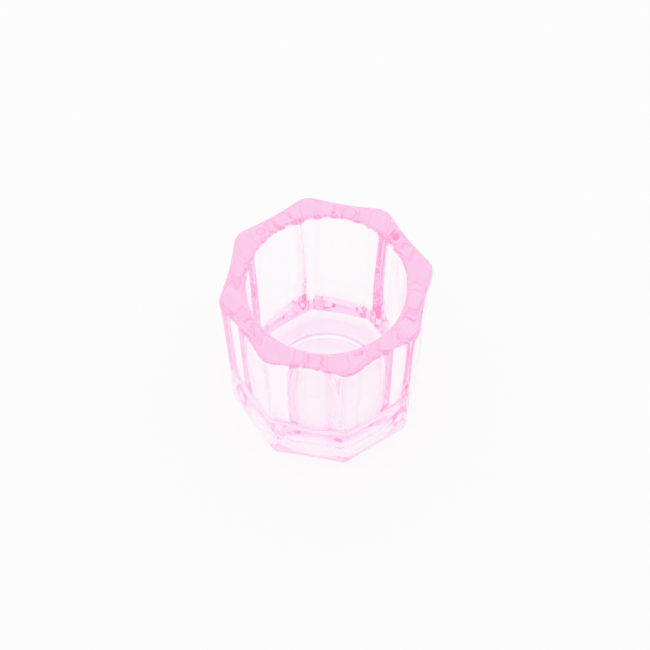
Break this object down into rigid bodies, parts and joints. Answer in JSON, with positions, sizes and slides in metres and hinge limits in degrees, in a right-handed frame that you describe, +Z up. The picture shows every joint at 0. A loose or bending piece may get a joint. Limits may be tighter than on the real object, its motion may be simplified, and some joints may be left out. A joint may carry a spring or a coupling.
{
  "type": "glass dappen cup",
  "caption": "Small octagonal pink glass cup with a round open bowl, flared hollow-sided panels, a rounded rim and a recessed foot, for holding nail liquid or powder.",
  "frame": {"origin": "middle of the resting plane under the foot", "axes": "+Z up along the bowl's axis, one flat panel facing -Y, +X to the right of that panel"},
  "size_m": [0.0318, 0.0318, 0.032],
  "materials": {
    "pink_glass": "fire-polished clear pink glass"
  },
  "bodies": {
    "root": {"glass_cup": "pink_glass"}
  },
  "joints": []
}
